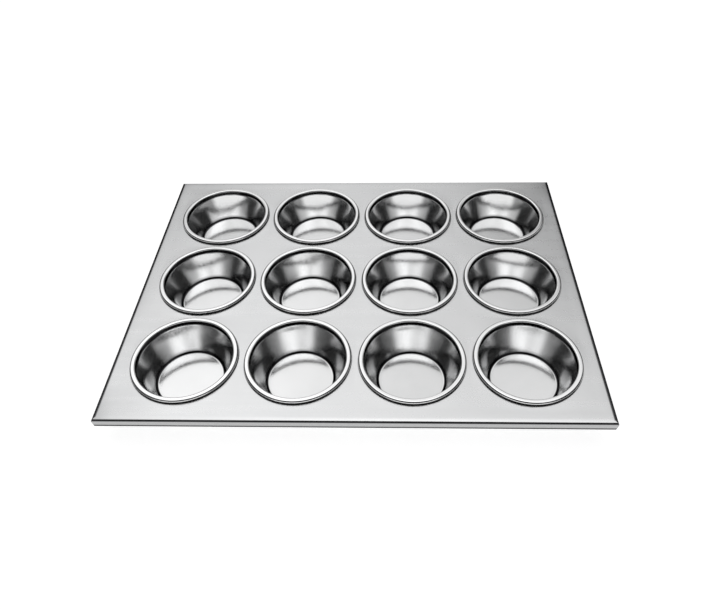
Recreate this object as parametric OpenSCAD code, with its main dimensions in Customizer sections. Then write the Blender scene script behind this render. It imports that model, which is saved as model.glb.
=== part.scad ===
// Twelve-cup commercial muffin tin in sheet aluminium.
// One pressed frame sheet carries twelve separately drawn cups. Each cup is held
// by a lock seam: the collar round the sheet's hole is turned outwards, and the
// cup's rim is curled over that lip and tucked under it. The sheet's four edges
// are folded down and rolled inwards round straight steel hem wires.
// Frame: +Z up, +X along the long side, origin at the centre of the footprint,
// on the surface that the cups stand on. Millimetres.

/* [Frame sheet] */
// Length of the frame sheet over its folded edges
frame_w = 352.4; // [348:0.1:380]
// Width of the frame sheet over its folded edges
frame_d = 269.9; // [266:0.1:300]
// Gauge of the frame sheet
sheet_t = 0.8; // [0.6:0.05:0.9]

/* [Cups] */
// Centre distance between neighbouring cups, the same both ways
cup_pitch = 82.55; // [80:0.05:84]
// Overall height, from the underside of the cups to the top of their rims
overall_h = 26.2; // [22:0.1:36]
// Gauge of the drawn cups
cup_t = 0.7; // [0.5:0.05:0.7]
// Inside radius of a cup's straight neck
neck_r = 35.0; // [33:0.1:35.5]
// Radius of the flat part of a cup's floor
floor_r = 23.5; // [20:0.5:26]
// Inside corner radius between a cup's floor and its wall
corner_r = 2.6; // [1.5:0.1:4]
// Depth of the neck below the top of the sheet
neck_drop = 1.6; // [1.2:0.1:3]

/* [Rim seam] */
// Height of the curled rim above the sheet
rim_h = 2.8; // [2.7:0.1:3.5]
// Radial width of the curled rim
rim_w = 3.9; // [3.8:0.1:4.2]
// Radius of the rim's shoulder on the inside, next to the neck
shoulder_in = 1.2; // [1.0:0.1:1.4]
// Radius of the rim's shoulder on the outside
shoulder_out = 1.5; // [1.2:0.1:1.7]
// Radius at the foot of the rim, where it turns in under the sheet's lip
tuck_r = 0.8; // [0.4:0.1:0.8]
// Play left between the two sheets of the seam
seam_gap = 0.05; // [0.03:0.01:0.06]

/* [Folded edges] */
// Height of the folded edge
edge_h = 8.0; // [7:0.5:10]
// Outside radius of the fold at the top of the edge
fold_r = 1.8; // [1.2:0.1:2]
// Diameter of the hem wires
wire_d = 2.6; // [2:0.1:3]
// Play between a hem wire and the roll that holds it
wire_gap = 0.05; // [0.03:0.01:0.1]
// Width of the corner notch at the fold
notch_top = 0.3; // [0.2:0.1:0.6]
// Width of the corner notch at the bottom of the edge
notch_bottom = 1.8; // [1:0.1:3]

/* [Hidden] */
$fn = 128;
COLUMNS = 4;
ROWS = 3;

ALUMINIUM_SHEET = [0.80, 0.81, 0.82];
ALUMINIUM_CUP = [0.86, 0.87, 0.88];
GALVANISED = [0.56, 0.58, 0.60];

// Top surface of the sheet
deck_z = overall_h - rim_h;
// Outside radius of the neck, and of the collar that the neck stands in
neck_out = neck_r + cup_t;
collar_in = neck_out + seam_gap;
collar_out = collar_in + sheet_t;
// Centres of the rim's two shoulders; the rim is flat between them
in_x = neck_r + shoulder_in;
in_z = overall_h - shoulder_in;
out_x = neck_r + rim_w - shoulder_out;
out_z = overall_h - shoulder_out;
rim_out = neck_r + rim_w;
// The tucked edge lies on the sheet, and the collar's lip lies on the tuck
tuck_z0 = deck_z + seam_gap / 2;
tuck_z1 = tuck_z0 + cup_t;
tuck_in = rim_out - cup_t - 1.0;
lip_z0 = tuck_z1 + seam_gap;
lip_z1 = lip_z0 + sheet_t;
lip_out = rim_out - cup_t - 0.5;
root_r = 0.3;
// Roll round the hem wire
roll_in = wire_d / 2 + wire_gap;
roll_out = roll_in + sheet_t;
roll_z = -edge_h + roll_out;
roll_end = 470;
// Hem wires stop this far short of the frame's corners
wire_stop = 2 * roll_out + 0.5;

// Points of an arc about [cx, cz], from angle a0 to angle a1, in n steps
function arc(cx, cz, r, a0, a1, n) =
  [for (i = [0 : n]) let (a = a0 + (a1 - a0) * i / n) [cx + r * cos(a), cz + r * sin(a)]];

// Slope of a cup's wall from the vertical: the line from the neck's foot that
// is tangent to the corner radius
neck_foot = [neck_r, deck_z - neck_drop];
corner_c = [floor_r, cup_t + corner_r];
wall_v = neck_foot - corner_c;
wall_a = atan2(wall_v[0], wall_v[1]) - asin(corner_r / norm(wall_v));

function column_x(c) = (c - (COLUMNS + 1) / 2) * cup_pitch;
function row_y(r) = ((ROWS + 1) / 2 - r) * cup_pitch;

// ---- cups ----

// Half section of a drawn cup: floor, corner, tapered wall, neck, curl and tuck
module cup_section() {
  wall_off = [cup_t * cos(wall_a), -cup_t * sin(wall_a)];
  // foot of the outer neck, where the offset wall meets the neck's outside
  foot_z = neck_foot[1] - cup_t * tan(wall_a / 2);
  polygon(concat(
    [[0, 0], [floor_r, 0]],
    arc(corner_c[0], corner_c[1], corner_r + cup_t, -90, -wall_a, 10),
    [[neck_out, foot_z]],
    [[neck_out, in_z]],
    arc(in_x, in_z, shoulder_in - cup_t, 180, 90, 8),
    arc(out_x, out_z, shoulder_out - cup_t, 90, 0, 8),
    [[rim_out - cup_t, tuck_z1], [tuck_in, tuck_z1], [tuck_in, tuck_z0]],
    arc(rim_out - tuck_r, tuck_z0 + tuck_r, tuck_r, -90, 0, 8),
    arc(out_x, out_z, shoulder_out, 0, 90, 12),
    arc(in_x, in_z, shoulder_in, 90, 180, 12),
    [neck_foot],
    arc(corner_c[0], corner_c[1], corner_r, -wall_a, -90, 10),
    [[0, cup_t]]
  ));
}

module cup() {
  color(ALUMINIUM_CUP) rotate_extrude() cup_section();
}

module cup_at(row, column) {
  translate([column_x(column), row_y(row), 0]) cup();
}

// ---- frame sheet ----

// Half section of the collar round a hole: sheet, root bend, upright and lip
module collar_section() {
  polygon(concat(
    [[rim_out, deck_z - sheet_t]],
    arc(collar_out + root_r, deck_z + root_r, root_r + sheet_t, 270, 180, 6),
    [[collar_in, lip_z1 - 0.35], [collar_in + 0.35, lip_z1]],
    [[lip_out, lip_z1], [lip_out, lip_z0], [collar_out + 0.2, lip_z0], [collar_out, lip_z0 - 0.2]],
    arc(collar_out + root_r, deck_z + root_r, root_r, 180, 270, 4),
    [[rim_out, deck_z]]
  ));
}

module collar() {
  rotate_extrude() collar_section();
}

// Section of a folded edge, measured inwards from its outside face: the fold,
// the upright face and the roll round the hem wire. Zero is the deck.
module edge_section() {
  polygon(concat(
    [[fold_r + 0.4, 0]],
    arc(fold_r, -fold_r, fold_r, 90, 180, 6),
    arc(roll_out, roll_z, roll_out, 180, roll_end, 24),
    arc(roll_out, roll_z, roll_in, roll_end, 180, 20),
    arc(fold_r, -fold_r, fold_r - sheet_t, 180, 90, 4),
    [[fold_r + 0.4, -sheet_t]]
  ));
}

// One folded edge along +X, with its outside face at y = -across / 2 and both
// ends cut at 45 degrees
module folded_edge(along, across) {
  reach = 2 * roll_out + 2;
  intersection() {
    translate([-along / 2, -across / 2, deck_z])
      rotate([90, 0, 90]) linear_extrude(height = along) edge_section();
    translate([0, -across / 2, deck_z - edge_h - 1])
      linear_extrude(height = edge_h + 2)
        polygon([[-along / 2, 0], [along / 2, 0],
                 [along / 2 - reach, reach], [-along / 2 + reach, reach]]);
  }
}

// Corner notch: a slot along the diagonal that widens towards the bottom
module corner_notch() {
  translate([0, 0, deck_z])
    rotate([90, 0, 90])
      translate([0, 0, -9]) linear_extrude(height = 18)
        polygon([[-notch_top / 2, -fold_r - 0.1], [notch_top / 2, -fold_r - 0.1],
                 [notch_bottom / 2, -edge_h - 1], [-notch_bottom / 2, -edge_h - 1]]);
}

module frame_sheet() {
  color(ALUMINIUM_SHEET)
  difference() {
    union() {
      difference() {
        translate([-frame_w / 2 + fold_r + 0.2, -frame_d / 2 + fold_r + 0.2, deck_z - sheet_t])
          cube([frame_w - 2 * fold_r - 0.4, frame_d - 2 * fold_r - 0.4, sheet_t]);
        for (r = [1 : ROWS], c = [1 : COLUMNS])
          translate([column_x(c), row_y(r), deck_z - 2]) cylinder(r = rim_out - 0.5, h = 4);
      }
      for (r = [1 : ROWS], c = [1 : COLUMNS])
        translate([column_x(c), row_y(r), 0]) collar();
      folded_edge(frame_w, frame_d);
      rotate([0, 0, 180]) folded_edge(frame_w, frame_d);
      rotate([0, 0, 90]) folded_edge(frame_d, frame_w);
      rotate([0, 0, 270]) folded_edge(frame_d, frame_w);
    }
    for (sx = [-1, 1], sy = [-1, 1])
      translate([sx * frame_w / 2, sy * frame_d / 2, 0])
        rotate([0, 0, sx * sy > 0 ? 45 : 135]) corner_notch();
  }
}

// ---- hem wires ----

// A straight wire along X, at the centre of its roll
module hem_wire(along, across) {
  color(GALVANISED)
  translate([-along / 2 + wire_stop, -across / 2 + roll_out, deck_z + roll_z])
    rotate([0, 90, 0]) cylinder(d = wire_d, h = along - 2 * wire_stop, $fn = 48);
}

module hem_wire_front() { hem_wire(frame_w, frame_d); }
module hem_wire_back() { rotate([0, 0, 180]) hem_wire(frame_w, frame_d); }
module hem_wire_left() { rotate([0, 0, 270]) hem_wire(frame_d, frame_w); }
module hem_wire_right() { rotate([0, 0, 90]) hem_wire(frame_d, frame_w); }

// ---- the assembly ----

frame_sheet();
cup_at(1, 1);  // cup_back_1
cup_at(1, 2);  // cup_back_2
cup_at(1, 3);  // cup_back_3
cup_at(1, 4);  // cup_back_4
cup_at(2, 1);  // cup_middle_1
cup_at(2, 2);  // cup_middle_2
cup_at(2, 3);  // cup_middle_3
cup_at(2, 4);  // cup_middle_4
cup_at(3, 1);  // cup_front_1
cup_at(3, 2);  // cup_front_2
cup_at(3, 3);  // cup_front_3
cup_at(3, 4);  // cup_front_4
hem_wire_front();
hem_wire_back();
hem_wire_left();
hem_wire_right();
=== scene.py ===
import math
import bpy
import bmesh
from mathutils import Matrix, Vector, noise


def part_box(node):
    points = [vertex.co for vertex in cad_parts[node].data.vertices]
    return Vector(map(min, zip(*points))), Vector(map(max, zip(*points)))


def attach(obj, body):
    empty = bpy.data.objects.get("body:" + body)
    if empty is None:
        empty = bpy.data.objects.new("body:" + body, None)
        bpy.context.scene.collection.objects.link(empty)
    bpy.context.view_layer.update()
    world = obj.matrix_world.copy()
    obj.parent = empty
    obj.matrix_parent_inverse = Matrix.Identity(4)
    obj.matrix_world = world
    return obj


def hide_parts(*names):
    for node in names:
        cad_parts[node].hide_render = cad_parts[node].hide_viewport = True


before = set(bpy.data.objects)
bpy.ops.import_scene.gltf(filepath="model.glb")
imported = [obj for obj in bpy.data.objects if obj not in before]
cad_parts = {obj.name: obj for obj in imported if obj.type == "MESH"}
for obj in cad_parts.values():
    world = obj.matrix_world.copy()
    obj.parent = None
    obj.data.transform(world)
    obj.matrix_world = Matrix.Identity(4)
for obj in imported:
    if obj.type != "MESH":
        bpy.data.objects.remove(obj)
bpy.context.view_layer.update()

MM = 0.001

# ---------------------------------------------------------------- measures
# The same numbers as part.scad, in millimetres; places come from the frame.
SHEET_T = 0.8
CUP_T = 0.7
NECK_R = 35.0
FLOOR_R = 23.5
CORNER_R = 2.6
NECK_DROP = 1.6
RIM_H = 2.8
RIM_W = 3.9
TUCK_R = 0.8
SHOULDER_IN = 1.2
SHOULDER_OUT = 1.5
GAP = 0.05
EDGE_H = 8.0
FOLD_R = 1.8
WIRE_D = 2.6
WIRE_GAP = 0.05
NOTCH_TOP = 0.3
NOTCH_BOTTOM = 1.8

CUPS = ["cup_%s_%d" % (row, c) for row in ("back", "middle", "front") for c in (1, 2, 3, 4)]
WIRES = ["hem_wire_front", "hem_wire_back", "hem_wire_left", "hem_wire_right"]


def centre(node):
    lo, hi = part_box(node)
    return ((lo[0] + hi[0]) / 2 / MM, (lo[1] + hi[1]) / 2 / MM)


cup_lo, cup_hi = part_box(CUPS[0])
sheet_lo, sheet_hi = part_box("frame_sheet")
OVERALL = (cup_hi[2] - cup_lo[2]) / MM
DECK = OVERALL - RIM_H
HALF_W = (sheet_hi[0] - sheet_lo[0]) / 2 / MM
HALF_D = (sheet_hi[1] - sheet_lo[1]) / 2 / MM
RIM_OUT = NECK_R + RIM_W
COLLAR_IN = NECK_R + CUP_T + GAP
COLLAR_OUT = COLLAR_IN + SHEET_T
TUCK_Z0 = DECK + GAP / 2
TUCK_Z1 = TUCK_Z0 + CUP_T
LIP_Z0 = TUCK_Z1 + GAP
LIP_Z1 = LIP_Z0 + SHEET_T
PITCH = centre("cup_front_2")[0] - centre("cup_front_1")[0]


def arc(cx, cz, r, a0, a1, n):
    out = []
    for i in range(n + 1):
        a = math.radians(a0 + (a1 - a0) * i / n)
        out.append((cx + r * math.cos(a), cz + r * math.sin(a)))
    return out


def span(p, q, n):
    """Points after p up to and including q, in n equal steps."""
    return [(p[0] + (q[0] - p[0]) * i / n, p[1] + (q[1] - p[1]) * i / n) for i in range(1, n + 1)]


def obj_from(name, verts, faces, smooth=True):
    me = bpy.data.meshes.new(name)
    me.from_pydata([tuple(c * MM for c in v) for v in verts], [], faces)
    me.validate()
    me.update()
    if smooth:
        for p in me.polygons:
            p.use_smooth = True
    ob = bpy.data.objects.new(name, me)
    bpy.context.scene.collection.objects.link(ob)
    return ob


# ---------------------------------------------------------------- cups
IN_X, IN_Z = NECK_R + SHOULDER_IN, OVERALL - SHOULDER_IN
OUT_X, OUT_Z = RIM_OUT - SHOULDER_OUT, OVERALL - SHOULDER_OUT
CORNER = (FLOOR_R, CUP_T + CORNER_R)
FOOT = (NECK_R, DECK - NECK_DROP)
_vx, _vz = FOOT[0] - CORNER[0], FOOT[1] - CORNER[1]
WALL = math.degrees(math.atan2(_vx, _vz) - math.asin(CORNER_R / math.hypot(_vx, _vz)))


def blend_corner(p, q, r, d, n):
    """Rounds the corner q of the path p-q-r, starting d away from it."""
    def toward(a, b):
        l = math.hypot(b[0] - a[0], b[1] - a[1])
        return (a[0] + (b[0] - a[0]) / l * d, a[1] + (b[1] - a[1]) / l * d)
    s, e = toward(q, p), toward(q, r)
    out = []
    for i in range(n + 1):
        t = i / n
        out.append(((1 - t) ** 2 * s[0] + 2 * t * (1 - t) * q[0] + t * t * e[0],
                    (1 - t) ** 2 * s[1] + 2 * t * (1 - t) * q[1] + t * t * e[1]))
    return out


def cup_profile():
    """Inner face from the middle of the floor outwards, over the curl, under the tuck, and back down the outer face."""
    wa = math.radians(WALL)
    inner = []
    for i in range(1, 13):
        inner.append((FLOOR_R * i / 12, CUP_T))
    inner += arc(CORNER[0], CORNER[1], CORNER_R, -90, -WALL, 12)[1:]
    top = (NECK_R, IN_Z)
    knee = blend_corner(inner[-1], FOOT, top, 0.9, 6)
    inner += span(inner[-1], knee[0], 10)
    inner += knee[1:]
    inner += span(inner[-1], top, 2)
    inner += arc(IN_X, IN_Z, SHOULDER_IN, 180, 90, 12)[1:]
    inner += span(inner[-1], (OUT_X, OVERALL), 3)
    inner += arc(OUT_X, OUT_Z, SHOULDER_OUT, 90, 0, 14)[1:]
    tuck = arc(RIM_OUT - TUCK_R, TUCK_Z0 + TUCK_R, TUCK_R, 0, -90, 8)
    inner += tuck
    inner += [(RIM_OUT - CUP_T - 1.0, TUCK_Z0), (RIM_OUT - CUP_T - 1.0, TUCK_Z1)]
    outer = [(RIM_OUT - CUP_T - 0.12, TUCK_Z1), (RIM_OUT - CUP_T, TUCK_Z1 + 0.12)]
    outer += arc(OUT_X, OUT_Z, SHOULDER_OUT - CUP_T, 0, 90, 8)
    outer += arc(IN_X, IN_Z, SHOULDER_IN - CUP_T, 90, 180, 8)
    foot_z = FOOT[1] - CUP_T * math.tan(wa / 2)
    foot = (NECK_R + CUP_T, foot_z)
    lowc = arc(CORNER[0], CORNER[1], CORNER_R + CUP_T, -WALL, -90, 12)
    knee = blend_corner(outer[-1], foot, lowc[0], 1.1, 6)
    outer += span(outer[-1], knee[0], 2)
    outer += knee[1:]
    outer += span(outer[-1], lowc[0], 10)
    outer += lowc[1:]
    for i in range(11, 0, -1):
        outer.append((FLOOR_R * i / 12, 0.0))
    path = [inner[0]]
    for p in inner[1:] + outer:
        if math.hypot(p[0] - path[-1][0], p[1] - path[-1][1]) > 0.004:
            path.append(p)
    return path


PROFILE = cup_profile()
SEGS = 144


def smooth(v, a, b):
    t = max(0.0, min(1.0, (v - a) / (b - a)))
    return t * t * (3 - 2 * t)


# painted shade on the cups: the floor's and the wall's colour darkened by these amounts
CUP_FLOOR_PAINTED_SHADE = 0.19
CUP_WALL_PAINTED_SHADE = 0.04


def cup_painted_shade(j):
    """How much painted shade darkens the metal at a point of the profile: in the crease, the neck and the seam,
    standing in for their dark reflections and shadow.
    """
    r, z = PROFILE[j]
    seen = j < TOP_OUT
    # the underside, out of sight from above, gets painted shade of 0.3
    if not seen:
        return 0.3
    # painted shade in the crease round the floor, standing in for its dark reflection
    if z < CORNER[1] and r > FLOOR_R - 0.01:
        tilt = math.degrees(math.atan2(r - CORNER[0], CORNER[1] - z))
        return max(CUP_FLOOR_PAINTED_SHADE, smooth(tilt, 9, 20)) * (1 - smooth(tilt, 90 - WALL - 2, 90 - WALL + 3)) + CUP_WALL_PAINTED_SHADE
    if z < CUP_T + 0.01:
        return CUP_FLOOR_PAINTED_SHADE
    # painted shade on the neck band below the rim, standing in for its dark reflection
    if r < NECK_R + 0.5:
        return max(CUP_WALL_PAINTED_SHADE, smooth(z, FOOT[1] - 0.3, FOOT[1] + 0.5) * (1 - smooth(z, IN_Z, IN_Z + 0.9)))
    # painted shade: a dark line on the rim's outer shoulder, and a painted contact shadow where the rim turns under
    if r > OUT_X:
        lift = math.degrees(math.atan2(z - OUT_Z, r - OUT_X))
        return max(smooth(lift, 68, 60) * smooth(lift, 30, 38), smooth(lift, 8, -4))
    return 0.0


# the last profile point that can be seen from above: where the rim turns under the tuck
TOP_OUT = next(j for j, p in enumerate(PROFILE) if p[1] <= TUCK_Z0 + 1e-6 and p[0] > OUT_X)


def make_cup(node, index):
    cx, cy = centre(node)
    n = len(PROFILE)
    verts, faces, draw, painted_shade = [], [], [], []
    s, run = [0.0], 0.0
    for a, b in zip(PROFILE, PROFILE[1:]):
        run += math.hypot(b[0] - a[0], b[1] - a[1])
        s.append(run)
    for j, (r, z) in enumerate(PROFILE):
        # a drawn wall is never quite true: a few hundredths of a millimetre of wave
        low = max(0.0, min(1.0, (z - CUP_T) / 4.0)) * max(0.0, min(1.0, (DECK - 2.5 - z) / 4.0))
        shade = cup_painted_shade(j)
        for k in range(SEGS):
            t = 2 * math.pi * k / SEGS
            c, si = math.cos(t), math.sin(t)
            w = 0.0
            if low > 0:
                w = 0.17 * low * noise.noise(Vector((c * 1.3 + index * 7.1, si * 1.3, z * 0.05))) \
                    + 0.05 * low * noise.noise(Vector((c * 3.1 + index * 3.7, si * 3.1, z * 0.11)))
            verts.append((cx + (r + w) * c, cy + (r + w) * si, z))
            draw.append((c, si, s[j] * 0.02))
            painted_shade.append(shade)
    mid_in = len(verts)
    verts.append((cx, cy, CUP_T))
    draw.append((1.0, 0.0, 0.0))
    painted_shade.append(CUP_FLOOR_PAINTED_SHADE)
    mid_out = len(verts)
    verts.append((cx, cy, 0.0))
    painted_shade.append(0.3)
    draw.append((1.0, 0.0, run * 0.02))
    for j in range(n - 1):
        for k in range(SEGS):
            k2 = (k + 1) % SEGS
            a, b = j * SEGS + k, j * SEGS + k2
            c, d = (j + 1) * SEGS + k2, (j + 1) * SEGS + k
            faces.append((a, d, c, b))
    for k in range(SEGS):
        k2 = (k + 1) % SEGS
        faces.append((mid_in, k, k2))
        faces.append((mid_out, (n - 1) * SEGS + k2, (n - 1) * SEGS + k))
    ob = obj_from("pan_" + node, verts, faces)
    me = ob.data
    att = me.attributes.new("draw", "FLOAT_VECTOR", "POINT")
    flat = [v for p in draw for v in p]
    att.data.foreach_set("vector", flat)
    # painted shade per vertex, which the material turns into darker colour and sheen
    me.attributes.new("painted_shade", "FLOAT", "POINT").data.foreach_set("value", painted_shade)
    bm = bmesh.new()
    bm.from_mesh(me)
    bmesh.ops.recalc_face_normals(bm, faces=bm.faces)
    for e in bm.edges:
        if len(e.link_faces) == 2 and e.calc_face_angle() > math.radians(50):
            e.smooth = False
    bm.to_mesh(me)
    bm.free()
    return ob


# ---------------------------------------------------------------- frame sheet
ROLL_IN = WIRE_D / 2 + WIRE_GAP
ROLL_OUT = ROLL_IN + SHEET_T
ROLL_Z = -EDGE_H + ROLL_OUT


LEAN = 9.0
SLOPE_W = 2.6
SLOPE_H = SLOPE_W * math.tan(math.radians(LEAN)) / 2
FOLD_IN = FOLD_R * (1 - math.sin(math.radians(LEAN)))


def edge_profile():
    """Outer skin of a folded edge: (inwards from the outside face, height over the deck)."""
    p = [(x, z) for x, z in arc(FOLD_R, -SLOPE_H - FOLD_R * math.cos(math.radians(LEAN)), FOLD_R, 90 + LEAN, 180, 12)]
    p += span(p[-1], (0.0, ROLL_Z), 3)
    p += arc(ROLL_OUT, ROLL_Z, ROLL_OUT, 180, 470, 30)[1:]
    return p


def deck_wave(x, y):
    """Gentle unevenness of the rolled sheet, none at the rims and the folds."""
    keep = 1.0
    for cx, cy in CENTRES:
        d = math.hypot(x - cx, y - cy) - RIM_OUT
        keep = min(keep, max(0.0, min(1.0, d / 7.0)))
    keep = min(keep, max(0.0, min(1.0, (min(HALF_W - abs(x), HALF_D - abs(y)) - 2.0) / 8.0)))
    keep = keep * keep * (3 - 2 * keep)
    u = max(0.0, 1 - (min(HALF_W - abs(x), HALF_D - abs(y)) - FOLD_IN) / SLOPE_W)
    return -0.16 * keep * (0.5 + 0.5 * noise.noise(Vector((x * 0.021, y * 0.027, 3.3)))) \
        - 0.05 * keep * (0.5 + 0.5 * noise.noise(Vector((x * 0.07, y * 0.08, 9.1)))) \
        - SLOPE_H * min(1.0, u) ** 2


CENTRES = [centre(n) for n in CUPS]


def make_sheet():
    bm = bmesh.new()
    cache = {}

    def V(x, y, z):
        key = (round(x, 3), round(y, 3), round(z, 3))
        v = cache.get(key)
        if v is None:
            v = cache[key] = bm.verts.new((x * MM, y * MM, z * MM))
        return v

    def quad(*pts):
        vs = []
        for p in pts:
            v = V(*p)
            if v not in vs:
                vs.append(v)
        if len(vs) >= 3:
            try:
                bm.faces.new(vs)
            except ValueError:
                pass

    side = 24
    h = PITCH / 2
    # collar: from the deck up round its root and out over the seam
    root = 0.3
    collar = [(p[0], DECK + p[1] - DECK) for p in
              arc(COLLAR_OUT + root, DECK + root, root, 270, 180, 5)]
    collar += span(collar[-1], (COLLAR_OUT, LIP_Z0 - 0.2), 2)
    collar += [(COLLAR_OUT + 0.06, LIP_Z0 - 0.06), (COLLAR_OUT + 0.2, LIP_Z0)]
    collar += span(collar[-1], (RIM_OUT - CUP_T - 0.5, LIP_Z0), 2)
    rings = [RIM_OUT - 1.2, RIM_OUT - 0.2, RIM_OUT + 0.2, RIM_OUT + 0.6]
    for cx, cy in CENTRES:
        square = []
        for i in range(side):
            square.append((h, -h + 2 * h * i / side))
        for i in range(side):
            square.append((h - 2 * h * i / side, h))
        for i in range(side):
            square.append((-h, h - 2 * h * i / side))
        for i in range(side):
            square.append((-h + 2 * h * i / side, -h))
        m = len(square)
        ang = [math.atan2(p[1], p[0]) for p in square]
        loops = []
        for r, z in reversed(collar):
            loops.append([(cx + r * math.cos(a), cy + r * math.sin(a), z) for a in ang])
        for r in rings:
            loops.append([(cx + r * math.cos(a), cy + r * math.sin(a), DECK) for a in ang])
        for t in (0.35, 0.7, 1.0):
            ring = []
            for a, p in zip(ang, square):
                rx, ry = rings[-1] * math.cos(a), rings[-1] * math.sin(a)
                x, y = cx + rx + (p[0] - rx) * t, cy + ry + (p[1] - ry) * t
                if t == 1.0:
                    x, y = round(x, 4), round(y, 4)
                ring.append((x, y, DECK + deck_wave(x, y)))
            loops.append(ring)
        for la, lb in zip(loops, loops[1:]):
            for k in range(m):
                k2 = (k + 1) % m
                quad(la[k], lb[k], lb[k2], la[k2])

    # plain margin between the cups' cells and the folds
    x0, y0 = 2 * PITCH, 1.5 * PITCH
    xe, ye = HALF_W - FOLD_IN, HALF_D - FOLD_IN
    steps = (0.0, 0.12, 0.3, 0.6, 1.0)
    xs = [-xe + SLOPE_W * t for t in steps] + [-(x0 + (xe - x0) * 0.35)] \
        + [-x0 + PITCH / side * i for i in range(4 * side + 1)]
    ys = [-ye + SLOPE_W * t for t in steps] + [-(y0 + (ye - y0) * 0.35)] \
        + [-y0 + PITCH / side * i for i in range(3 * side + 1)]
    xs += [-v for v in reversed(xs[:6])]
    ys += [-v for v in reversed(ys[:6])]
    for i in range(len(xs) - 1):
        for j in range(len(ys) - 1):
            inside = 6 <= i < len(xs) - 7 and 6 <= j < len(ys) - 7
            if inside:
                continue
            c = [(xs[i], ys[j]), (xs[i + 1], ys[j]), (xs[i + 1], ys[j + 1]), (xs[i], ys[j + 1])]
            quad(*[(round(x, 4), round(y, 4), DECK + deck_wave(x, y)) for x, y in c])

    # the four folded edges, mitred, with a notch that opens downwards
    prof = edge_profile()
    for turn, half, across, stations in ((0, HALF_W, HALF_D, xs), (1, HALF_D, HALF_W, ys),
                                         (2, HALF_W, HALF_D, xs), (3, HALF_D, HALF_W, ys)):
        rows = []
        for d, z in prof:
            f = max(0.0, min(1.0, (-z - FOLD_R * 0.9) / (EDGE_H - FOLD_R)))
            gap = 0.0 if z > -FOLD_R * 0.9 else (NOTCH_TOP + (NOTCH_BOTTOM - NOTCH_TOP) * f) * 0.7071
            end = half - d - gap
            row = []
            for s in stations:
                e = half - FOLD_IN
                s2 = s / e * end if abs(abs(s) - e) < 1e-6 else max(-end, min(end, s))
                row.append((s2, -across + d, DECK + z))
            rows.append(row)
        rot = Matrix.Rotation(turn * math.pi / 2, 3, "Z")

        def place(p):
            v = rot @ Vector(p)
            return (v.x, v.y, v.z)

        for ra, rb in zip(rows, rows[1:]):
            for k in range(len(ra) - 1):
                quad(place(ra[k]), place(rb[k]), place(rb[k + 1]), place(ra[k + 1]))
    bmesh.ops.remove_doubles(bm, verts=bm.verts, dist=0.000004)
    bmesh.ops.recalc_face_normals(bm, faces=bm.faces)
    up = sum(f.normal.z * f.calc_area() for f in bm.faces)
    if up < 0:
        bmesh.ops.reverse_faces(bm, faces=bm.faces)
    me = bpy.data.meshes.new("pan_frame_sheet")
    bm.to_mesh(me)
    bm.free()
    for p in me.polygons:
        p.use_smooth = True
    ob = bpy.data.objects.new("pan_frame_sheet", me)
    bpy.context.scene.collection.objects.link(ob)
    sol = ob.modifiers.new("gauge", "SOLIDIFY")
    sol.thickness = SHEET_T * MM
    sol.offset = -1.0
    sol.use_even_offset = True
    sol.use_quality_normals = True
    with bpy.context.temp_override(object=ob, active_object=ob, selected_objects=[ob]):
        bpy.ops.object.modifier_apply(modifier=sol.name)
    bm = bmesh.new()
    bm.from_mesh(ob.data)
    for e in bm.edges:
        if len(e.link_faces) == 2 and e.calc_face_angle() > math.radians(40):
            e.smooth = False
    bm.to_mesh(ob.data)
    bm.free()
    me = ob.data
    # painted shade per vertex: dark lines on the folds and the flange foot, a painted contact shadow round each rim,
    # and darker patches on the deck
    painted_shade = []
    for v in me.vertices:
        x, y, z = (c / MM for c in v.co)
        inset = min(HALF_W - abs(x), HALF_D - abs(y))
        near = min(math.hypot(x - cx, y - cy) for cx, cy in CENTRES)
        d = 0.0
        # painted dark line along the fold, standing in for its reflection of the dark surroundings
        if inset < FOLD_R and z > DECK - FOLD_R - SLOPE_H:
            tilt = math.degrees(math.atan2(FOLD_R - inset, z - DECK + SLOPE_H + FOLD_R))
            if HALF_W - abs(x) < HALF_D - abs(y):
                d = smooth(tilt, 6, 12) * (0.4 + 0.6 * smooth(tilt, 88, 76))
            else:
                d = smooth(tilt, 14, 28) * (0.4 + 0.6 * smooth(tilt, 78, 62))
        # painted shade on the flange, darkest in a line at its foot
        elif z < DECK - FOLD_R - SLOPE_H and inset < 2 * ROLL_OUT:
            d = (0.4 + 0.6 * smooth(z, DECK - 5.3, DECK - 5.9)) * smooth(inset, 1.3, 0.7)
        # painted contact shadow on the deck where each rim sits
        elif near < COLLAR_OUT + 6 and z > DECK - 0.3:
            d = 0.7 * smooth(near, RIM_OUT + 0.6, RIM_OUT + 0.1)
        if z > DECK - SLOPE_H - 0.3 and near > RIM_OUT:
            # painted shade: the deck darker in soft patches towards its ends and its corners, less so at the front
            # right
            patch = 0.55 + 0.9 * noise.noise(Vector((x * 0.03, y * 0.03, 5.7)))
            ends = smooth(HALF_W - abs(x), 15, 2)
            corner = math.exp(-((HALF_W - abs(x)) ** 2 + (HALF_D - abs(y)) ** 2) / 26.0 ** 2)
            kept = 1 - 0.85 * smooth(x, 50, 150) * smooth(y, 40, -40)
            d = max(d, kept * min(0.4, max(0.0, patch) * (0.11 * ends + 0.34 * corner)))
            # painted dark line along the left and right folds
            if HALF_W - abs(x) < HALF_D - abs(y):
                d = max(d, smooth(inset, FOLD_IN + 1.3, FOLD_IN + 0.7))
        painted_shade.append(d)
    me.attributes.new("painted_shade", "FLOAT", "POINT").data.foreach_set("value", painted_shade)
    return ob


# ---------------------------------------------------------------- materials
def new_mat(name):
    m = bpy.data.materials.new(name)
    m.use_nodes = True
    nt = m.node_tree
    nt.nodes.clear()
    out = nt.nodes.new("ShaderNodeOutputMaterial")
    b = nt.nodes.new("ShaderNodeBsdfPrincipled")
    nt.links.new(b.outputs["BSDF"], out.inputs["Surface"])
    return m, nt, b


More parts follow.
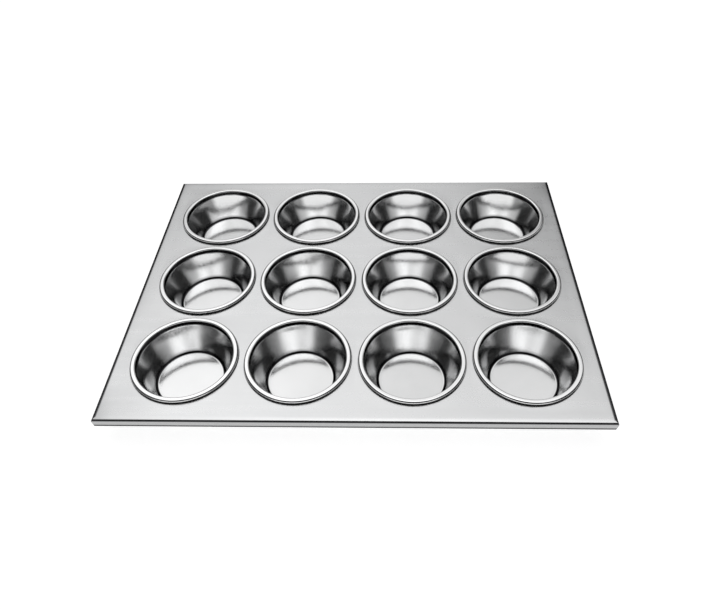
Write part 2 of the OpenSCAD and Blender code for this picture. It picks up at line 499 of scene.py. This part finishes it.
def N(nt, kind, **kw):
    n = nt.nodes.new(kind)
    for k, v in kw.items():
        if k.startswith("in_"):
            n.inputs[k[3:].replace("_", " ")].default_value = v
        else:
            setattr(n, k, v)
    return n


def noise_tex(nt, vec, scale, detail=4.0, rough=0.55, loc=(0, 0, 0), stretch=(1, 1, 1), rot=(0, 0, 0)):
    mp = nt.nodes.new("ShaderNodeMapping")
    mp.inputs["Location"].default_value = loc
    mp.inputs["Rotation"].default_value = rot
    mp.inputs["Scale"].default_value = stretch
    nt.links.new(vec, mp.inputs["Vector"])
    t = nt.nodes.new("ShaderNodeTexNoise")
    t.inputs["Scale"].default_value = scale
    t.inputs["Detail"].default_value = detail
    t.inputs["Roughness"].default_value = rough
    nt.links.new(mp.outputs["Vector"], t.inputs["Vector"])
    return t.outputs["Fac"]


def ramp(nt, fac, stops):
    r = nt.nodes.new("ShaderNodeValToRGB")
    el = r.color_ramp.elements
    while len(el) < len(stops):
        el.new(0.5)
    for e, (p, c) in zip(el, stops):
        e.position = p
        e.color = (c, c, c, 1.0) if not isinstance(c, tuple) else c
    nt.links.new(fac, r.inputs["Fac"])
    return r.outputs["Color"]


def mth(nt, op, a, b=None, clamp=False):
    n = nt.nodes.new("ShaderNodeMath")
    n.operation = op
    n.use_clamp = clamp
    for i, v in enumerate((a, b)):
        if v is None:
            continue
        if isinstance(v, (int, float)):
            n.inputs[i].default_value = v
        else:
            nt.links.new(v, n.inputs[i])
    return n.outputs[0]


def remap(nt, fac, lo, hi):
    n = nt.nodes.new("ShaderNodeMapRange")
    n.inputs["From Min"].default_value = 0.25
    n.inputs["From Max"].default_value = 0.75
    n.inputs["To Min"].default_value = lo
    n.inputs["To Max"].default_value = hi
    nt.links.new(fac, n.inputs["Value"])
    return n.outputs["Result"]


def mix_col(nt, fac, a, b):
    n = nt.nodes.new("ShaderNodeMix")
    n.data_type = "RGBA"
    nt.links.new(fac, n.inputs["Factor"])
    n.inputs["A"].default_value = (*a, 1.0)
    n.inputs["B"].default_value = (*b, 1.0)
    return n.outputs["Result"]


def with_painted_shade(nt, col, amount):
    """The metal's colour with painted shade: darker where the attribute asks for it."""
    at = nt.nodes.new("ShaderNodeAttribute")
    at.attribute_name = "painted_shade"
    n = nt.nodes.new("ShaderNodeMix")
    n.data_type = "RGBA"
    nt.links.new(mth(nt, "MULTIPLY", at.outputs["Fac"], amount), n.inputs["Factor"])
    nt.links.new(col, n.inputs["A"])
    n.inputs["B"].default_value = (0.02, 0.02, 0.022, 1.0)
    return n.outputs["Result"]


def painted_shade_sheen(nt, b):
    """Painted shade on the sheen too: where the attribute asks for it, the metal stays dark where it turns away from
    the eye.
    """
    at = nt.nodes.new("ShaderNodeAttribute")
    at.attribute_name = "painted_shade"
    nt.links.new(mix_col(nt, at.outputs["Fac"], (1.0, 1.0, 1.0), (0.08, 0.08, 0.08)), b.inputs["Specular Tint"])


def bump(nt, height, strength, dist, prev=None):
    n = nt.nodes.new("ShaderNodeBump")
    n.inputs["Strength"].default_value = strength
    n.inputs["Distance"].default_value = dist
    nt.links.new(height, n.inputs["Height"])
    if prev is not None:
        nt.links.new(prev, n.inputs["Normal"])
    return n.outputs["Normal"]


def sheet_material():
    m, nt, b = new_mat("satin_rolled_aluminium")
    co = nt.nodes.new("ShaderNodeTexCoord").outputs["Object"]
    grain = noise_tex(nt, co, 900.0, 3.0, 0.6, stretch=(0.03, 1.0, 1.0))
    streak = noise_tex(nt, co, 130.0, 4.0, 0.6, stretch=(0.05, 1.0, 1.0))
    cloud = noise_tex(nt, co, 16.0, 3.0, 0.5)
    mottle = noise_tex(nt, co, 420.0, 3.0, 0.65)
    col = mix_col(nt, remap(nt, cloud, 0.0, 1.0), (0.745, 0.75, 0.755), (0.79, 0.793, 0.797))
    # painted shade: the attribute darkens the colour and the grazing sheen
    nt.links.new(with_painted_shade(nt, col, 0.95), b.inputs["Base Color"])
    painted_shade_sheen(nt, b)
    rgh = mth(nt, "ADD", remap(nt, streak, 0.25, 0.33), remap(nt, mottle, -0.02, 0.02))
    nt.links.new(rgh, b.inputs["Roughness"])
    b.inputs["Metallic"].default_value = 1.0
    b.inputs["Anisotropic"].default_value = 0.25
    n1 = bump(nt, grain, 0.20, 0.00006)
    n2 = bump(nt, mottle, 0.24, 0.00007, n1)
    nt.links.new(n2, b.inputs["Normal"])
    return m


def cup_material():
    m, nt, b = new_mat("bright_drawn_aluminium")
    co = nt.nodes.new("ShaderNodeTexCoord").outputs["Object"]
    at = nt.nodes.new("ShaderNodeAttribute")
    at.attribute_name = "draw"
    flow = at.outputs["Vector"]
    draw = noise_tex(nt, flow, 22.0, 4.0, 0.6, stretch=(1.0, 1.0, 0.9))
    rings = noise_tex(nt, flow, 30.0, 3.0, 0.5, stretch=(0.05, 0.05, 12.0))
    cloud = noise_tex(nt, co, 60.0, 3.0, 0.5)
    fine = noise_tex(nt, co, 700.0, 2.0, 0.6)
    col = mix_col(nt, remap(nt, cloud, 0.0, 1.0), (0.92, 0.923, 0.926), (0.96, 0.962, 0.965))
    # painted shade: the attribute darkens the colour and the grazing sheen
    nt.links.new(with_painted_shade(nt, col, 0.95), b.inputs["Base Color"])
    painted_shade_sheen(nt, b)
    rgh = mth(nt, "ADD", remap(nt, draw, 0.09, 0.17), remap(nt, rings, -0.02, 0.03))
    nt.links.new(rgh, b.inputs["Roughness"])
    b.inputs["Metallic"].default_value = 1.0
    n1 = bump(nt, draw, 0.12, 0.00010)
    n2 = bump(nt, rings, 0.05, 0.00004, n1)
    n3 = bump(nt, fine, 0.04, 0.00004, n2)
    nt.links.new(n3, b.inputs["Normal"])
    return m


def wire_material():
    m, nt, b = new_mat("galvanised_wire")
    co = nt.nodes.new("ShaderNodeTexCoord").outputs["Object"]
    cloud = noise_tex(nt, co, 240.0, 4.0, 0.6)
    col = mix_col(nt, remap(nt, cloud, 0.0, 1.0), (0.42, 0.44, 0.46), (0.60, 0.62, 0.64))
    nt.links.new(col, b.inputs["Base Color"])
    nt.links.new(remap(nt, cloud, 0.35, 0.55), b.inputs["Roughness"])
    b.inputs["Metallic"].default_value = 1.0
    nt.links.new(bump(nt, cloud, 0.15, 0.0001), b.inputs["Normal"])
    return m


def floor_material():
    m, nt, b = new_mat("pale_floor")
    co = nt.nodes.new("ShaderNodeTexCoord").outputs["Object"]
    cloud = noise_tex(nt, co, 3.0, 2.0, 0.5)
    nt.links.new(mix_col(nt, remap(nt, cloud, 0.0, 1.0), (0.46, 0.46, 0.46), (0.50, 0.50, 0.50)), b.inputs["Base Color"])
    b.inputs["Roughness"].default_value = 0.9
    b.inputs["Emission Color"].default_value = (1.0, 1.0, 1.0, 1.0)
    b.inputs["Emission Strength"].default_value = 0.80
    # one-sided, so that the underside of the pan can be looked at from below
    out = next(n for n in nt.nodes if n.type == "OUTPUT_MATERIAL")
    mix = nt.nodes.new("ShaderNodeMixShader")
    nt.links.new(nt.nodes.new("ShaderNodeNewGeometry").outputs["Backfacing"], mix.inputs[0])
    nt.links.new(b.outputs["BSDF"], mix.inputs[1])
    nt.links.new(nt.nodes.new("ShaderNodeBsdfTransparent").outputs["BSDF"], mix.inputs[2])
    nt.links.new(mix.outputs["Shader"], out.inputs["Surface"])
    return m


def backdrop_material():
    m, nt, b = new_mat("pale_backdrop")
    b.inputs["Base Color"].default_value = (0.0, 0.0, 0.0, 1.0)
    b.inputs["Roughness"].default_value = 1.0
    b.inputs["Emission Color"].default_value = (1.0, 1.0, 1.0, 1.0)
    b.inputs["Emission Strength"].default_value = 1.02
    return m


SHEET_MAT = sheet_material()
CUP_MAT = cup_material()
WIRE_MAT = wire_material()

# ---------------------------------------------------------------- build
sheet = make_sheet()
sheet.data.materials.append(SHEET_MAT)
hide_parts("frame_sheet")
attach(sheet, "root")

for i, node in enumerate(CUPS):
    cup = make_cup(node, i)
    cup.data.materials.append(CUP_MAT)
    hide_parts(node)
    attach(cup, "root")

for node in WIRES:
    ob = bpy.data.objects.get(node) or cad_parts[node]
    for s in ob.material_slots:
        s.material = WIRE_MAT
    if not ob.material_slots:
        ob.data.materials.append(WIRE_MAT)

# ---------------------------------------------------------------- stage
bm = bmesh.new()
bmesh.ops.create_circle(bm, cap_ends=True, radius=4.0, segments=96)
me = bpy.data.meshes.new("floor")
bm.to_mesh(me)
bm.free()
floor = bpy.data.objects.new("floor", me)
floor.location = (0, 0, cup_lo[2] - 0.0002)
bpy.context.scene.collection.objects.link(floor)
floor.data.materials.append(floor_material())

# a white sweep all round, which is only the background: it neither lights nor shades the pan
bm = bmesh.new()
bmesh.ops.create_uvsphere(bm, u_segments=48, v_segments=24, radius=4.3)
me = bpy.data.meshes.new("backdrop")
bm.to_mesh(me)
bm.free()
sweep = bpy.data.objects.new("backdrop", me)
bpy.context.scene.collection.objects.link(sweep)
sweep.data.materials.append(backdrop_material())
sweep.visible_diffuse = False
sweep.visible_glossy = False
sweep.visible_transmission = False
sweep.visible_volume_scatter = False
sweep.visible_shadow = False

world = bpy.data.worlds.new("studio")
bpy.context.scene.world = world
world.use_nodes = True
wt = world.node_tree
wt.nodes.clear()
w_out = wt.nodes.new("ShaderNodeOutputWorld")
w_bg = wt.nodes.new("ShaderNodeBackground")
wt.links.new(w_bg.outputs["Background"], w_out.inputs["Surface"])
w_sep = wt.nodes.new("ShaderNodeSeparateXYZ")
wt.links.new(wt.nodes.new("ShaderNodeTexCoord").outputs["Generated"], w_sep.inputs["Vector"])
WX, WY, WZ = w_sep.outputs["X"], w_sep.outputs["Y"], w_sep.outputs["Z"]


def step(nt, v, a, b):
    """Smoothly 0 to 1 as v goes from a to b."""
    n = nt.nodes.new("ShaderNodeMapRange")
    n.interpolation_type = "SMOOTHSTEP"
    n.clamp = True
    n.inputs["From Min"].default_value = a
    n.inputs["From Max"].default_value = b
    nt.links.new(v, n.inputs["Value"])
    return n.outputs["Result"]


def blend(nt, f, a, b):
    """a where f is 0, b where f is 1."""
    return mth(nt, "ADD", mth(nt, "MULTIPLY", a, mth(nt, "SUBTRACT", 1.0, f)), mth(nt, "MULTIPLY", f, b))


def rise(nt, v, stops):
    """A smooth curve of brightness against v, through the stops, which may go up to 2."""
    r = nt.nodes.new("ShaderNodeValToRGB")
    r.color_ramp.interpolation = "B_SPLINE"
    el = r.color_ramp.elements
    while len(el) < len(stops):
        el.new(0.5)
    for e, (p, c) in zip(el, stops):
        e.position = p
        e.color = (c / 2, c / 2, c / 2, 1.0)
    nt.links.new(v, r.inputs["Fac"])
    return mth(nt, "MULTIPLY", r.outputs["Color"], 2.0)


def spot(nt, az, el, width, amount):
    """A soft round patch of light, or of shade where amount is negative, width degrees across its middle."""
    a, e = math.radians(az), math.radians(el)
    k = 1.0 / math.radians(width) ** 2
    d = mth(nt, "ADD", mth(nt, "ADD", mth(nt, "MULTIPLY", WX, math.sin(a) * math.cos(e)),
                           mth(nt, "MULTIPLY", WY, math.cos(a) * math.cos(e))),
            mth(nt, "MULTIPLY", WZ, math.sin(e)))
    return mth(nt, "MULTIPLY", mth(nt, "EXPONENT", mth(nt, "MULTIPLY", mth(nt, "SUBTRACT", d, 1.0), k)), amount)


# A tent of white cloth round the pan, open on the side the photographer stands: bright
# behind and overhead, dark in the opening, with a low light band under it.
w_h = mth(wt, "SQRT", mth(wt, "ADD", mth(wt, "MULTIPLY", WX, WX), mth(wt, "MULTIPLY", WY, WY)))
w_az = mth(wt, "DIVIDE", WY, mth(wt, "MAXIMUM", w_h, 0.001))
behind = rise(wt, WZ, [(0.0, 0.80), (0.35, 0.71), (0.57, 0.74), (0.70, 0.93), (0.82, 0.96), (0.92, 1.1), (1.0, 1.2)])
front = rise(wt, WZ, [(0.0, 0.95), (0.20, 0.92), (0.34, 0.84), (0.42, 0.42), (0.49, 0.05), (0.56, 0.01), (0.90, 0.01), (0.95, 0.04), (0.98, 0.40), (1.0, 1.2)])
flank = rise(wt, WZ, [(0.0, 0.40), (0.16, 0.32), (0.36, 0.12), (0.56, 0.04), (0.68, 0.12), (0.78, 0.42), (0.88, 0.85), (1.0, 1.2)])
light = blend(wt, step(wt, w_az, 0.05, 0.60), flank, behind)
light = blend(wt, step(wt, w_az, -0.60, -0.82), light, front)
for az, el, width, amount in ((28, 37, 8.5, -0.5), (-27, 30, 9, -0.55), (20, 31, 8, -0.45), (44, 12, 12, -0.6),
                              (-44, 12, 12, -0.6), (-26, 47, 12, 0.31), (24, 51, 10, 0.14), (4, 58, 8, -0.29), (0, 75, 25, 0.05)):
    light = mth(wt, "ADD", light, spot(wt, az, el, width, amount))
wt.links.new(mth(wt, "MAXIMUM", light, 0.0), w_bg.inputs["Strength"])
w_bg.inputs["Color"].default_value = (1.0, 1.0, 1.0, 1.0)


def softbox(name, where, aim, w, h, radiance):
    li = bpy.data.lights.new(name, "AREA")
    li.shape = "RECTANGLE"
    li.size, li.size_y = w, h
    # a flat emitter of radiance L and area A gives pi * L * A watts
    li.energy = math.pi * radiance * w * h
    ob = bpy.data.objects.new(name, li)
    ob.location = where
    ob.rotation_euler = (Vector(aim) - Vector(where)).to_track_quat("-Z", "Y").to_euler()
    bpy.context.scene.collection.objects.link(ob)
    return ob


softbox("softbox_top", (0.0, 0.5, 1.9), (0.0, 0.0, 0.0), 0.9, 0.7, 0.25)

# ---------------------------------------------------------------- camera
CAM = dict(f=668.2783266871469, cx=15.185878620464159, cy=-60.0, tx=26.26089315831623,
           ty=-389.57177748722586, tz=381.2087418750243, yaw=-0.0416265491779175,
           pitch=0.721992059960592, roll=-0.02891993470658806)
cy_, sy_ = math.cos(CAM["yaw"]), math.sin(CAM["yaw"])
cp_, sp_ = math.cos(CAM["pitch"]), math.sin(CAM["pitch"])
cr_, sr_ = math.cos(CAM["roll"]), math.sin(CAM["roll"])
fwd = Vector((sy_ * cp_, cy_ * cp_, -sp_))
right = Vector((cy_, -sy_, 0.0))
up = right.cross(fwd)
r2 = cr_ * right + sr_ * up
u2 = -sr_ * right + cr_ * up
cam = bpy.data.cameras.new("camera")
cam.sensor_fit = "HORIZONTAL"
cam.sensor_width = 36.0
cam.lens = CAM["f"] * 36.0 / 710.0
cam.shift_x = -CAM["cx"] / 710.0
cam.shift_y = CAM["cy"] / 710.0
cam.clip_start = 0.01
cam_ob = bpy.data.objects.new("camera", cam)
m = Matrix((r2, u2, -fwd)).transposed().to_4x4()
m.translation = Vector((CAM["tx"] * MM, CAM["ty"] * MM, (CAM["tz"] + DECK) * MM + cup_lo[2]))
cam_ob.matrix_world = m
bpy.context.scene.collection.objects.link(cam_ob)
bpy.context.scene.camera = cam_ob

scene = bpy.context.scene
scene.view_settings.view_transform = "Standard"
scene.view_settings.look = "None"
